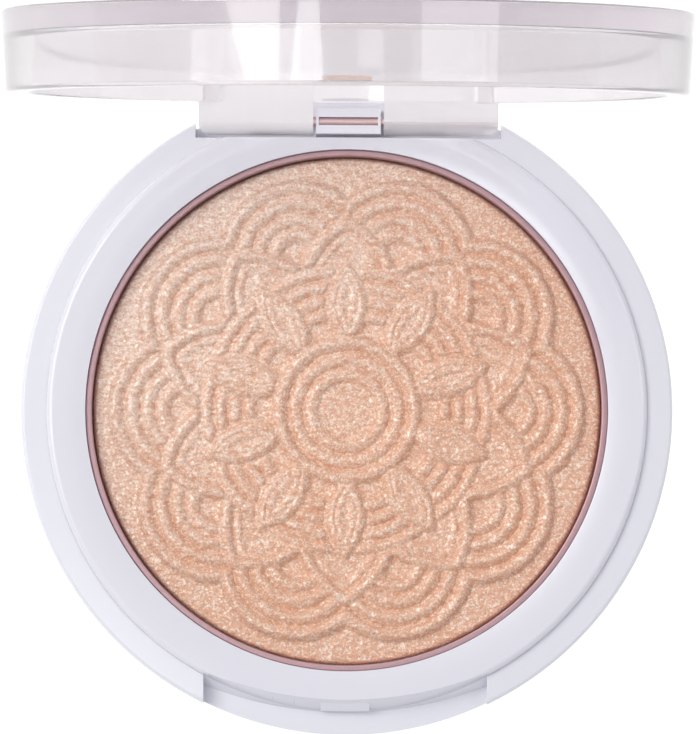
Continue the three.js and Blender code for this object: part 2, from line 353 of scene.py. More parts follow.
@dataclass(frozen=True)
class ClearPlastic:
    """Thick, slightly milky styrene: glossy skin, blurred view through, darker along long paths."""

    name: str = "clear_styrene"
    tint: Colour = (0.925, 0.905, 0.915)
    roughness: float = 0.07
    swing: float = 0.06
    wipe_per_mm: float = 0.35
    wipe_squash: tuple[float, float, float] = (1.0, 0.15, 0.15)
    ripple_per_mm: float = 0.06
    ripple_mm: float = 0.01
    haze: Colour = (0.83, 0.81, 0.825)
    lug_haze: Colour = (0.95, 0.945, 0.95)
    haze_share: float = 0.17
    lug_share: float = 0.62
    haze_roughness: float = 0.25
    shadow_tint: Colour = (0.90, 0.89, 0.90)
    absorbed: Colour = (0.30, 0.16, 0.27)
    absorption_per_m: float = 9.0

    def make(self) -> Material:
        """Builds the material.

        Returns:
            The material.
        """
        dress = Dress(self.name)
        graph = dress.graph
        wipe = dress.noise(self.wipe_per_mm, 3.0, self.wipe_squash)
        ripple = dress.bump(dress.noise(self.ripple_per_mm, 1.0), self.ripple_mm)
        dress.set(
            Base_Color=self.tint,
            Roughness=graph.maths("ADD", wipe * self.swing, self.roughness - self.swing / 2),
            Normal=ripple,
            Transmission_Weight=1.0,
            Coat_Weight=0.5,
            Coat_Roughness=0.03,
            Coat_IOR=1.5,
            IOR=1.49,
        )
        thick = graph.out(graph.node("ShaderNodeAttribute", {"attribute_name": "thick"}), "Fac")
        colour = graph.mix(self.haze, self.lug_haze, thick)
        matt = {"Base Color": colour, "Roughness": self.haze_roughness, "Normal": ripple}
        milk = graph.node("ShaderNodeBsdfPrincipled", {}, matt)
        share = wipe * self.swing + thick * self.lug_share + (self.haze_share - self.swing / 2)
        body = self._either(graph, share, dress.shader, milk)
        shadow = graph.out(graph.node("ShaderNodeLightPath"), "Is Shadow Ray")
        through = graph.node("ShaderNodeBsdfTransparent", {}, {"Color": (*self.shadow_tint, 1.0)})
        surface = self._either(graph, shadow, body, through)
        graph.tree.links.new(surface.outputs[0], dress.output.inputs["Surface"])
        fog = {"Color": (*self.absorbed, 1.0), "Density": self.absorption_per_m}
        depth = graph.node("ShaderNodeVolumeAbsorption", {}, fog)
        graph.tree.links.new(depth.outputs[0], dress.output.inputs["Volume"])
        return dress.material

    @staticmethod
    def _either(graph: Graph, share: Term, a: Node, b: Node) -> Node:
        """Mixes two shaders: a where share is 0 and b where it is 1."""
        return graph.node("ShaderNodeMixShader", {}, {0: share, 1: graph.out(a), 2: graph.out(b)})


@dataclass(frozen=True)
class BareMetal:
    """Pressed or drawn metal with fine draw lines along one direction."""

    name: str
    colour: Colour
    roughness: float
    lines: tuple[float, float, float] = (1.0, 1.0, 0.05)
    lines_per_mm: float = 3.0
    line_depth_mm: float = 0.003
    roughness_swing: float = 0.12
    dullest: float = 0.9

    def make(self) -> Material:
        """Builds the material.

        Returns:
            The material.
        """
        dress = Dress(self.name)
        streaks = dress.noise(self.lines_per_mm, 2.0, self.lines)
        dull = tuple(part * self.dullest for part in self.colour)
        smoothest = self.roughness - self.roughness_swing / 2
        dress.set(
            Base_Color=dress.graph.mix(dull, self.colour, streaks),
            Metallic=1.0,
            Roughness=dress.graph.maths("ADD", streaks * self.roughness_swing, smoothest),
            Normal=dress.bump(streaks, self.line_depth_mm),
        )
        return dress.material


@dataclass(frozen=True)
class ShimmerCake:
    """Pressed shimmer powder: peach binder with painted highlight on the crests and painted shade in the
    hollows, and mica grains that catch the light.
    """

    name: str = "shimmer_cake"
    # pale pearl tone, which also serves as painted sheen on the crests and towards the back left
    pearl_and_sheen: Colour = field(default_factory=lambda: srgb(255, 239, 226))
    peach: Colour = field(default_factory=lambda: srgb(248, 199, 167))
    # painted shade in the embossing's hollows and along the rim; also the colour of the dark grains
    valley_shade_and_dark_grain: Colour = field(default_factory=lambda: srgb(192, 134, 104))
    mica: Colour = field(default_factory=lambda: srgb(255, 244, 228))
    grain_per_mm: float = 7.0
    flake_size: float = 0.6
    streaks_per_mm: float = 1.9
    streak_squash: tuple[float, float, float] = (0.6, 1.5, 1.0)
    # painted sheen fades from back left to front right over this many millimetres
    sheen_fade_mm: float = 70.0
    dark_grains: float = 0.3
    bright_grains: float = 0.24
    flashing_grains: float = 0.06
    roughness: float = 0.44
    polish: float = 0.25

    def _tone(self, dress: Dress, relief: Term, streak: Term) -> Term:
        """The binder's colour, with painted sheen, paler on the crests and towards the back left where the
        key light falls, and painted shade in the hollows and along the rim.

        Args:
            dress: the material being built.
            relief: the height of the embossing.
            streak: the fine combed noise.

        Returns:
            The colour.
        """
        graph = dress.graph
        x, y, _ = graph.parts(dress.place)
        # Painted sheen: the powder gets paler towards the back left, where the key light falls.
        sheen_slant = (y - x) / (self.sheen_fade_mm * MM) + 0.5
        drift = dress.noise(0.12, 2.0)
        # Pale pearl comes from random drift and combed streaks, plus painted highlight on the crests and
        # painted sheen at the back left.
        pale_and_sheen = sheen_slant * 1.25 + drift * 0.4 + streak * 1.7 + relief * 1.3
        tone = graph.mix(self.peach, self.pearl_and_sheen, graph.maths("SUBTRACT", pale_and_sheen, 1.62, clamp=True))
        # Painted shade: the valley colour fills the hollows of the embossing and the rim groove, and fades
        # out on the crests.
        out_of_shade = graph.maths("ADD", relief * 1.3 + streak * 1.0, 0.18, clamp=True)
        return graph.mix(self.valley_shade_and_dark_grain, tone, out_of_shade)

    def make(self) -> Material:
        """Builds the material.

        Returns:
            The material.
        """
        dress = Dress(self.name)
        graph = dress.graph
        relief = graph.out(graph.node("ShaderNodeAttribute", {"attribute_name": "relief"}), "Fac")
        streak = dress.noise(self.streaks_per_mm, 5.0, self.streak_squash)
        grain = dress.cells(self.grain_per_mm)
        flake = dress.cells(self.grain_per_mm * self.flake_size)
        speck = dress.channel(grain)
        dark = graph.maths("GREATER_THAN", self.dark_grains, speck)
        bright = graph.maths("GREATER_THAN", speck, 1 - self.bright_grains)
        flash = graph.maths("GREATER_THAN", dress.channel(flake, "Green"), 1 - self.flashing_grains)
        shine = graph.maths("MAXIMUM", bright * 0.52, flash * 0.65)
        # Dark grains take the valley colour as a random speck tone.
        tone = graph.mix(self._tone(dress, relief, streak), self.valley_shade_and_dark_grain, dark * 0.3)
        normal = dress.bump(dress.noise(3.2, 4.0), 0.09, 0.8)
        normal = dress.bump(streak, 0.16, 0.9, normal)
        normal = dress.bump(dress.channel(grain, "Blue"), 0.02, 0.5, normal)
        dress.set(
            Base_Color=graph.mix(tone, self.mica, shine),
            Roughness=graph.maths("SUBTRACT", self.roughness, shine * self.polish),
            Metallic=graph.maths("ADD", shine * 0.3, 0.02),
            Specular_IOR_Level=0.85,
            Normal=normal,
        )
        return dress.material


@dataclass(frozen=True)
class PlainMatter:
    """A simple matt matter, such as glue or paper, with a mottled tone."""

    name: str
    colour: Colour
    roughness: float
    mottle_per_mm: float
    depth_mm: float
    darkest: float = 0.88

    def make(self) -> Material:
        """Builds the material.

        Returns:
            The material.
        """
        dress = Dress(self.name)
        mottle = dress.noise(self.mottle_per_mm, 4.0)
        darker = tuple(part * self.darkest for part in self.colour)
        dress.set(
            Base_Color=dress.graph.mix(darker, self.colour, mottle),
            Roughness=dress.graph.maths("ADD", mottle * 0.1, self.roughness),
            Normal=dress.bump(mottle, self.depth_mm),
        )
        return dress.material


# ---- mesh making ----


def arc(centre: tuple[float, float], radius: float, start: float, end: float, steps: int = 6) -> Profile:
    """Points on a circle's arc.

    Args:
        centre: the arc's centre in the profile plane.
        radius: its radius.
        start: the first angle in degrees.
        end: the last angle in degrees.
        steps: how many chords to use.

    Returns:
        The points, both ends included.
    """
    points = []
    for i in range(steps + 1):
        angle = math.radians(start + (end - start) * i / steps)
        points.append((centre[0] + radius * math.cos(angle), centre[1] + radius * math.sin(angle)))
    return points


def add_mesh(name: str, mesh: Mesh) -> Object:
    """Puts a mesh into the scene as an object at the origin.

    Args:
        name: the object's name.
        mesh: its mesh, in metres.

    Returns:
        The new object.
    """
    made = bpy.data.objects.new(name, mesh)
    bpy.context.scene.collection.objects.link(made)
    return made


def from_bmesh(name: str, shape: bmesh.types.BMesh) -> Object:
    """Turns a closed bmesh into an object with its faces pointing out.

    Args:
        name: the object's name.
        shape: the bmesh, which is used up.

    Returns:
        The new object.
    """
    bmesh.ops.remove_doubles(shape, verts=shape.verts, dist=WELD)
    bmesh.ops.recalc_face_normals(shape, faces=shape.faces)
    mesh = bpy.data.meshes.new(name)
    shape.to_mesh(mesh)
    shape.free()
    return add_mesh(name, mesh)


def turned(name: str, profile: Profile, segments: int = 256) -> Object:
    """A solid of revolution about Z.

    Args:
        name: the object's name.
        profile: (radius, height) points in millimetres, from axis to axis.
        segments: how many sides the circle has.

    Returns:
        The closed solid, in metres.
    """
    shape = bmesh.new()
    rings = []
    for radius, height in profile:
        if radius == 0:
            rings.append([shape.verts.new((0, 0, height * MM))])
            continue
        ring = []
        for i in range(segments):
            angle = 2 * math.pi * i / segments
            across, along = radius * MM * math.cos(angle), radius * MM * math.sin(angle)
            ring.append(shape.verts.new((across, along, height * MM)))
        rings.append(ring)
    for low, high in zip(rings, rings[1:]):
        for i in range(segments):
            j = (i + 1) % segments
            corners = [low[i % len(low)], low[j % len(low)], high[j % len(high)], high[i % len(high)]]
            unique = list(dict.fromkeys(corners))
            if len(unique) > 2:
                shape.faces.new(unique)
    return from_bmesh(name, shape)


def prism(name: str, outline: Profile, low: float, high: float, axis: int) -> Object:
    """An outline drawn out along one axis.

    Args:
        name: the object's name.
        outline: points on the other two axes, in X, Y, Z order, in millimetres.
        low: where the prism starts along the axis.
        high: where it ends.
        axis: 0, 1 or 2 for X, Y or Z.

    Returns:
        The closed solid, in metres.
    """
    shape = bmesh.new()
    ends = []
    for level in (low, high):
        corners = []
        for first, second in outline:
            point = [first, second]
            point.insert(axis, level)
            corners.append(shape.verts.new(Vector(point) * MM))
        ends.append(corners)
        shape.faces.new(corners)
    count = len(outline)
    for i in range(count):
        j = (i + 1) % count
        shape.faces.new((ends[0][i], ends[0][j], ends[1][j], ends[1][i]))
    return from_bmesh(name, shape)


def block(name: str, low: tuple, high: tuple) -> Object:
    """A rectangular block between two corners, in millimetres."""
    outline = [(low[0], low[1]), (high[0], low[1]), (high[0], high[1]), (low[0], high[1])]
    return prism(name, outline, low[2], high[2], 2)


def settle(obj: Object) -> Object:
    """Replaces an object's mesh by what its modifiers make of it, and removes them.

    Args:
        obj: the object.

    Returns:
        The same object.
    """
    graph = bpy.context.evaluated_depsgraph_get()
    mesh = bpy.data.meshes.new_from_object(obj.evaluated_get(graph), depsgraph=graph)
    obj.modifiers.clear()
    obj.data = mesh
    return obj


def cut(obj: Object, tool: Object, how: Cut = Cut.AWAY) -> Object:
    """Joins or cuts a solid with another one.

    Args:
        obj: the solid.
        tool: the other solid, which is used up.
        how: what is kept.

    Returns:
        The same object.
    """
    made = obj.modifiers.new("cut", "BOOLEAN")
    made.operation = how.value
    made.solver = "EXACT"
    made.object = tool
    settle(obj)
    bpy.data.objects.remove(tool)
    return obj


def ease(obj: Object, angle: float = 32.0) -> Object:
    """Cleans a cut moulding and smooths its faces, keeping its flats flat and its edges crisp.

    Args:
        obj: the solid.
        angle: edges sharper than this many degrees stay crisp.

    Returns:
        The same object.
    """
    shape = bmesh.new()
    shape.from_mesh(obj.data)
    bmesh.ops.remove_doubles(shape, verts=shape.verts, dist=CUT_WELD)
    bmesh.ops.dissolve_degenerate(shape, edges=shape.edges, dist=CUT_WELD)
    shape.to_mesh(obj.data)
    shape.free()
    obj.data.shade_smooth()
    obj.data.set_sharp_from_angle(angle=math.radians(angle))
    weigh = obj.modifiers.new("faces", "WEIGHTED_NORMAL")
    weigh.keep_sharp = True
    weigh.weight = 80
    return settle(obj)


def dress(obj: Object, material: Material) -> Object:
    """Gives an object one material.

    Args:
        obj: the object.
        material: its only material.

    Returns:
        The same object.
    """
    obj.data.materials.clear()
    obj.data.materials.append(material)
    return obj


def enter(obj: Object, body: str, slot: str, *nodes: str) -> None:
    """Hands a finished piece to the frame.

    Args:
        obj: the piece.
        body: the CAD body it moves with.
        slot: the record's material slot; not used.
        nodes: the CAD nodes that it stands for.
    """
    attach(obj, body)
    if nodes:
        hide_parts(*nodes)
    LOG.info("%s rides on %s with %d faces", obj.name, body, len(obj.data.polygons))


# ---- the compact ----


def height_of(node: str, top: bool = True) -> float:
    """A CAD node's highest or lowest level in millimetres."""
    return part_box(node)[1 if top else 0][2] / MM


def radius_of(node: str) -> float:
    """Half of a CAD node's width in millimetres."""
    low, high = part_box(node)
    return (high[0] - low[0]) / 2 / MM


@dataclass
class Hinge:
    """The hinge line and the room around it, shared by base, tray and lid."""

    y: float
    z: float
    lug_outer: float = 15.7
    lug_inner: float = 3.7
    barrel: float = 1.45
    side_gap: float = 0.3
    bore: float = 0.52
    recess_front: float = 28.45
    recess_shelf: float = 3.45
    recess_step: float = 31.7
    recess_deep: float = 0.8

    def room(self) -> list[Object]:
        """The space that the lugs and the lid's rear wall swing through.

        Returns:
            Two blocks to cut away: a shelf and a deeper step behind it.
        """
        half = self.lug_outer + self.side_gap
        shelf = block("room_shelf", (-half, self.recess_front, self.recess_shelf), (half, FAR, FAR))
        deep = block("room_deep", (-half, self.recess_step, self.recess_deep), (half, FAR, FAR))
        return [shelf, deep]

    def barrel_outline(self, top: float, bottom: float, steps: int = 24) -> Profile:
        """The knuckle's outline in the Y-Z plane, round at the top or at the bottom.

        Args:
            top: how far the outline reaches above the axis; the barrel's radius makes it round there.
            bottom: how far it reaches below the axis, in the same way.
            steps: chords in the round half.

        Returns:
            The outline's points around the hinge line.
        """
        front, back = self.y - self.barrel, self.y + self.barrel
        if top <= self.barrel:
            round_part = arc((self.y, self.z), self.barrel, 0, 180, steps)
            return round_part + [(front, self.z - bottom), (back, self.z - bottom)]
        round_part = arc((self.y, self.z), self.barrel, 180, 360, steps)
        return round_part + [(back, self.z + top), (front, self.z + top)]

    def bore_rod(self, low: float, high: float, radius: float | None = None) -> Object:
        """A rod along the hinge line, for the pin or its bore."""
        outline = arc((self.y, self.z), radius or self.bore, 0, 352.5, 47)
        return prism("bore", outline, low, high, 0)


@dataclass
class ThumbNotch:
    """The cut in the front of the rim that a thumbnail lifts the lid from."""

    half_width: float = 14.75
    floor: float = 4.8
    centre_y: float = 8.5
    radius: float = 40.0
    run: float = 1.3
    wall_top: float = 7.8
    steps: int = 180

    def cutter(self) -> Object:
        """Everything outside the notch's curved, leaning wall, between its two ends.

        Returns:
            The solid to cut away.
        """
        lean = self.run / (self.wall_top - self.floor)
        over, beyond, spare = 1.0, 8.0, 0.03
        reach = math.asin(self.half_width / (self.radius - self.run - lean)) + spare
        section = [
            (self.radius, self.floor),
            (self.radius + beyond, self.floor),
            (self.radius + beyond, self.wall_top + over),
            (self.radius - self.run - lean * over, self.wall_top + over),
        ]
        shape = bmesh.new()
        rows = []
        for i in range(self.steps + 1):
            angle = -math.pi / 2 - reach + 2 * reach * i / self.steps
            row = []
            for r, z in section:
                corner = Vector((r * math.cos(angle), self.centre_y + r * math.sin(angle), z))
                row.append(shape.verts.new(corner * MM))
            rows.append(row)
        shape.faces.new(rows[0])
        shape.faces.new(rows[-1])
        for first, second in zip(rows, rows[1:]):
            for i in range(len(section)):
                j = (i + 1) % len(section)
                shape.faces.new((first[i], first[j], second[j], second[i]))
        front = block("notch_front", (-self.half_width, -FAR, 0), (self.half_width, -10, FAR))
        return cut(from_bmesh("notch", shape), front, Cut.COMMON)


@dataclass
class Base:
    """The opaque outer base and the tray that is snapped into it."""

    hinge: Hinge
    notch: ThumbNotch
    radius: float
    height: float
    tray_radius: float
    tray_top: float
    foot_round: float = 1.1
    foot_inset: float = 0.5
    lip_round: float = 0.45
    rim_fall: float = 0.09
    rim_crest: float = 32.6
    rim_flat: float = 0.3
    bore: float = 31.36
    floor: float = 1.4
    label_recess: float = 21.95
    label_depth: float = 0.2
    pocket_wall: float = 1.6
    pocket_floor: float = 0.7
    well: float = 27.25
    well_wall: float = 0.7
    well_bottom: float = 1.5
    well_floor: float = 2.6
    dish_outer: float = 29.3
    dish_edge: float = 7.58
    dish_lip: float = 0.09
    flange: float = 1.1
    skirt_wall: float = 1.1
    skirt_foot: float = 4.2
    platform_round: float = 0.7
    catch_half_width: float = 2.55
    catch_top: float = 6.9
    slot_length: float = 6.2
    slot_width: float = 0.84
    knuckle_top: float = 0.6

    def knuckle(self) -> Object:
        """The centre knuckle, flat on top, with the slot that shows the pin.

        Returns:
            The knuckle, reaching a little into the pocket's floor.
        """
        hinge = self.hinge
        reach = hinge.lug_inner - hinge.side_gap
        sunk = hinge.z - hinge.recess_shelf + 0.4
        body = prism("knuckle", hinge.barrel_outline(hinge.barrel, sunk), -reach, reach, 0)
        cut(body, hinge.bore_rod(-20, 20))
        half, long = self.slot_width / 2, self.slot_length / 2
        flat = hinge.z + self.knuckle_top
        cut(body, block("flat", (-20, hinge.y - 5, flat), (20, hinge.y + 5, hinge.z + 5)))
        slot = block("slot", (-long, hinge.y - half, hinge.z), (long, hinge.y + half, hinge.z + 5))
        return cut(body, slot)

    def shell(self) -> Object:
        """The outer base: a shallow cup with the hinge pocket, the notch and the knuckle.

        Returns:
            The finished mesh's object.
        """
        foot = self.radius - self.foot_inset
        profile = [(0, self.label_depth), (self.label_recess, self.label_depth), (self.label_recess, 0)]
        profile += arc((foot - self.foot_round, self.foot_round), self.foot_round, -90, 0, 8)
        low_lip = self.height - self.rim_fall - self.lip_round
        profile += arc((self.radius - self.lip_round, low_lip), self.lip_round, 0, 84, 6)
        profile += [(self.rim_crest, self.height - 0.05), (self.bore + self.rim_flat, self.height)]
        profile += [(self.bore, self.height), (self.bore, self.floor), (0, self.floor)]
        cup = turned("base_shell_fine", profile)
        reach = self.hinge.lug_outer + self.hinge.side_gap + self.pocket_wall
        front = self.hinge.recess_front + 0.3
        pocket = block("pocket", (-reach, front, self.pocket_floor), (reach, FAR, self.height))
        outside = self.bore + 1
        limit = turned("limit", [(0, 0), (outside, 0), (outside, self.height), (0, self.height)])
        cut(pocket, limit, Cut.COMMON)
        cut(cup, pocket, Cut.TOGETHER)
        for room in self.hinge.room():
            cut(cup, room)
        cut(cup, self.notch.cutter())
        cut(cup, self.knuckle(), Cut.TOGETHER)
        return ease(cup)

    def _dish(self, steps: int = 14) -> Profile:
        """The tray's top from the dish's outer edge, sinking softly to the well's mouth.

        Args:
            steps: chords in the dish.

        Returns:
            The profile's points.
        """
        inner = self.well + self.dish_lip
        points = []
        for i in range(steps + 1):
            share = i / steps
            radius = self.dish_outer + (inner - self.dish_outer) * share
            drop = (self.tray_top - self.dish_edge) * (1 - math.cos(share * math.pi / 2))
            points.append((radius, self.tray_top - drop))
        return points + arc((inner, self.dish_edge - self.dish_lip), self.dish_lip, 90, 180, 4)

    def _catch(self) -> Object:
        """The catch at the foot of the notch's wall, where a bump in the lid snaps over it.

        Returns:
            The catch, reaching back into the tray.
        """
        foot = self.notch.centre_y - self.notch.radius
        low, back, run = self.notch.floor + 0.2, foot + 2.4, self.notch.run
        outline = [
            (back, low),
            (back, self.catch_top),
            (foot + run * 0.7, self.catch_top),
            (foot + run * 0.1, low + 0.9),
            (foot + run * 0.1, low),
        ]
        return prism("catch", outline, -self.catch_half_width, self.catch_half_width, 0)

    def tray(self) -> Object:
        """The snapped-in tray: pan well, soft dished ring, raised platform and front catch.

        Returns:
            The finished mesh's object.
        """
        outer = self.well + self.well_wall
        under = self.tray_top - self.flange
        skirt = self.tray_radius - self.skirt_wall
        lip = self.platform_round
        profile = [(0, self.well_bottom), (outer, self.well_bottom), (outer, under - 0.8), (skirt, under)]
        profile += [(skirt, self.skirt_foot), (self.tray_radius, self.skirt_foot)]
        profile += arc((self.tray_radius - lip, self.tray_top - lip), lip, 0, 90, 6)
        profile += self._dish()
        profile += [(self.well, self.dish_edge - 1.2), (self.well, self.well_floor), (0, self.well_floor)]
        body = turned("inner_tray_fine", profile)
        for room in self.hinge.room():
            cut(body, room)
        cut(body, self.notch.cutter())
        cut(body, self._catch(), Cut.TOGETHER)
        return ease(body)

    def build(self, shell_look: Material, tray_look: Material) -> None:
        """Makes and enters both pieces."""
        enter(dress(self.shell(), shell_look), "base", "shell_plastic", "base_shell")
        enter(dress(self.tray(), tray_look), "base", "tray_plastic", "inner_tray")


@dataclass
class Pan:
    """The shallow pressed metal pan."""

    radius: float
    bottom: float
    top: float
    wall: float = 0.4
    sheet: float = 0.5
    foot_round: float = 0.6
    flange: float = 0.24
    ring_round: float = 0.12

    def build(self, look: Material) -> None:
        """Makes and enters the pan.

        Args:
            look: the pan's material.
        """
        inner, curl = self.radius - self.wall, self.ring_round
        floor, crest = self.bottom + self.sheet, self.top - curl
        profile = [(0, self.bottom)]
        foot = self.radius - self.foot_round
        profile += arc((foot, self.bottom + self.foot_round), self.foot_round, -90, 0, 6)
        profile += [(self.radius, self.top - 1.2)]
        profile += arc((self.radius + self.flange - curl, crest), curl, -30, 90, 6)
        profile += arc((inner + curl, crest), curl, 90, 180, 6)
        profile += [(inner, floor), (0, floor)]
        pan = turned("powder_pan_fine", profile, 288)
        pan.data.shade_smooth()
        pan.data.set_sharp_from_angle(angle=math.radians(50))
        enter(dress(pan, look), "base", "pan_metal", "powder_pan")


@dataclass
class EmbossedCake:
    """The pressed powder with a rosette of rings, leaves, fans and pointed petals in relief."""

    radius: float
    bottom: float
    top: float
    folds: int = 10
    grid: int = 300
    relief: float = 0.95
    grit: float = 0.36
    wobble: float = 0.5
    edge_width: float = 0.45
    edge_drop: float = 0.75
    centre_radii: Radii = (3.75, 5.4)
    centre_rim: float = 7.1
    leaf_centre: float = 11.2
    leaf_half: float = 4.6
    leaf_width: float = 2.25
    inner_fan: float = 6.2
    inner_radii: Radii = (8.5, 7.0, 5.5, 4.0)
    petal_along: float = 12.0
    petal_aside: float = 3.9
    petal_radius: float = 9.2
    outer_fan: float = 16.6
    outer_radii: Radii = (7.6, 5.9, 4.2, 2.6)

    def _ridge(self, graph: Graph, distance: Term, half: float, height: float) -> Term:
        """A rounded ridge of some half width and height on the line where the distance is 0."""
        ratio = distance / half
        return graph.maths("MAXIMUM", 1.0 - ratio * ratio, 0.0) * height

    def _fan(self, graph: Graph, distance: Term, radii: Radii, half: float, height: float) -> Term:
        """Concentric ridges around one point.

        Args:
            graph: the geometry tree.
            distance: how far a place is from the point.
            radii: the ridges' radii.
            half: half of a ridge's width.
            height: a ridge's height.

        Returns:
            The ridges' height at the place.
        """
        total = self._ridge(graph, distance - radii[0], half, height)
        for radius in radii[1:]:
            total = total + self._ridge(graph, distance - radius, half, height)
        return total

    def _rosette(self, graph: Graph, x: Term, y: Term) -> Term:
        """The relief at a place: rings, then leaves, inner fans, petals and outer fans beneath them.

        Args:
            graph: the geometry tree.
            x: place across, in millimetres.
            y: place towards the hinge, in millimetres.

        Returns:
            The height as a share of the relief's depth, from 0 to about 1.
        """
        half_fold = math.pi / self.folds
        r = graph.hypot(x, y)
        angle = graph.maths("ARCTAN2", y, x) - math.pi / 2
        leaf_angle = abs(graph.maths("WRAP", angle, half_fold, -half_fold))
        fan_angle = half_fold - leaf_angle
        u, v = r * graph.maths("COSINE", leaf_angle), r * graph.maths("SINE", leaf_angle)
        p, q = r * graph.maths("COSINE", fan_angle), r * graph.maths("SINE", fan_angle)
        rings = self._fan(graph, r, self.centre_radii, 0.84, 0.55)
        rings = rings + self._ridge(graph, r - self.centre_rim, 0.88, 0.85)
        along = (u - self.leaf_centre) / self.leaf_half
        leaf = (v - (1.0 - along * along) * self.leaf_width) * 0.9
        leaf_top = graph.inside(leaf + 0.45, 0.7) * 0.62 + self._ridge(graph, leaf + 0.4, 0.6, 0.38)
        leaf_top = leaf_top + self._ridge(graph, leaf + 1.35, 0.4, 0.18)
        near = graph.hypot(p - self.inner_fan, q)
        inner_fan = self._fan(graph, near, self.inner_radii, 0.78, 0.66)
        petal = graph.hypot(u - self.petal_along, v + self.petal_aside) - self.petal_radius
        petal_top = self._ridge(graph, petal + 0.45, 0.85, 0.85)
        petal_top = petal_top + self._ridge(graph, petal + 1.8, 0.5, 0.25)
        petal_top = petal_top + graph.inside(petal + 0.6, 0.8) * 0.15
        far = graph.hypot(p - self.outer_fan, q)
        outer_fan = self._fan(graph, far, self.outer_radii, 0.86, 0.72)
        height = graph.blend(outer_fan, petal_top, graph.inside(petal - 0.2, 0.5))
        inner_edge = self.inner_radii[0] + 0.7
        height = graph.blend(height, inner_fan, graph.inside(near - inner_edge, 0.5))
        height = graph.blend(height, leaf_top, graph.inside(leaf - 0.12, 0.45))
        return graph.blend(height, rings, graph.inside(r - (self.centre_rim + 0.75), 0.4))

    def _tree(self) -> tuple[bpy.types.GeometryNodeTree, dict[str, str]]:
        """Builds the geometry tree of the cake's top.

        Returns:
            The tree, and each named input's identifier.
        """
        tree = bpy.data.node_groups.new("cake_relief", "GeometryNodeTree")
        sockets = {}
        kinds = {"Radius": "Float", "Relief": "Float", "Top": "Float", "Cells": "Int", "Look": "Material"}
        for name, kind in kinds.items():
            made = tree.interface.new_socket(name=name, in_out="INPUT", socket_type=f"NodeSocket{kind}")
            sockets[name] = made.identifier
        tree.interface.new_socket(name="Geometry", in_out="OUTPUT", socket_type="NodeSocketGeometry")
        graph = Graph(tree)
        given = graph.node("NodeGroupInput")
        cells = graph.out(given, "Cells")
        sizes = {"Size X": 2.0, "Size Y": 2.0, "Vertices X": cells, "Vertices Y": cells}
        grid = graph.node("GeometryNodeMeshGrid", {}, sizes)
        a, b, _ = graph.parts(graph.out(graph.node("GeometryNodeInputPosition")))
        wide = graph.maths("GREATER_THAN", abs(a), abs(b))
        reach = graph.blend(b, a, wide)
        eighth = math.pi / 4
        turn = graph.blend(math.pi / 2 - (a / b) * eighth, (b / a) * eighth, wide)
        radius = graph.out(given, "Radius")
        x = reach * graph.maths("COSINE", turn) * radius
        y = reach * graph.maths("SINE", turn) * radius
        waves = {"Vector": graph.vector(x, y), "Scale": 0.9, "Detail": 3.0}
        wave = graph.out(graph.node("ShaderNodeTexNoise", {}, waves), "Color")
        across, along, _ = graph.parts(wave)
        height = self._rosette(graph, x + (across - 0.5) * self.wobble, y + (along - 0.5) * self.wobble)
        grains = {"Vector": graph.vector(x * 0.55, y * 1.5), "Scale": 1.9, "Detail": 4.0}
        grit = graph.out(graph.node("ShaderNodeTexNoise", {}, grains), 0)
        slope = (graph.hypot(x, y) - (radius - self.edge_width)) / self.edge_width
        edge = graph.maths("MAXIMUM", slope, 0.0)
        worn = height + (grit - 0.5) * self.grit
        level = graph.out(given, "Top") + (worn - 1.0) * graph.out(given, "Relief")
        z = level - edge * edge * self.edge_drop
        placed = {"Geometry": graph.out(grid, "Mesh"), "Position": graph.vector(x * MM, y * MM, z * MM)}
        moved = graph.node("GeometryNodeSetPosition", {}, placed)
        # The stored relief drops towards the rim, so the powder's material paints valley shade along the rim
        # groove and the crest highlight on the ridges.
        tag = {"Geometry": graph.out(moved), "Name": "relief", "Value": height - edge * 1.4}
        kept = graph.node("GeometryNodeStoreNamedAttribute", {"data_type": "FLOAT", "domain": "POINT"}, tag)
        real = graph.node("GeometryNodeRealizeInstances", {}, {0: graph.out(kept)})
        dressed = {"Geometry": graph.out(real), "Material": graph.out(given, "Look")}
        looked = graph.node("GeometryNodeSetMaterial", {}, dressed)
        graph.node("NodeGroupOutput", {}, {0: graph.out(looked)})
        return tree, sockets

    def build(self, look: Material) -> None:
        """Makes and enters the cake.

        Args:
            look: the powder's material.
        """
        tree, sockets = self._tree()
        cake = add_mesh("pressed_powder_fine", bpy.data.meshes.new("pressed_powder_fine"))
        made = cake.modifiers.new("relief", "NODES")
        made.node_group = tree
        sizes = {"Radius": self.radius, "Relief": self.relief, "Top": self.top, "Cells": self.grid}
        for name, value in {**sizes, "Look": look}.items():
            made[sockets[name]] = value
        settle(cake)
        shape = bmesh.new()
        shape.from_mesh(cake.data)
        rim = [vert for vert in shape.verts if vert.is_boundary]
        rim.sort(key=lambda vert: math.atan2(vert.co.y, vert.co.x))
        feet = [shape.verts.new((vert.co.x, vert.co.y, self.bottom * MM)) for vert in rim]
        for i in range(len(rim)):
            shape.faces.new((rim[i - 1], rim[i], feet[i], feet[i - 1]))
        shape.faces.new(feet)
        bmesh.ops.recalc_face_normals(shape, faces=shape.faces)
        shape.to_mesh(cake.data)
        shape.free()
        cake.data.shade_smooth()
        cake.data.set_sharp_from_angle(angle=math.radians(60))
        enter(dress(cake, look), "base", "powder_cake", "pressed_powder")


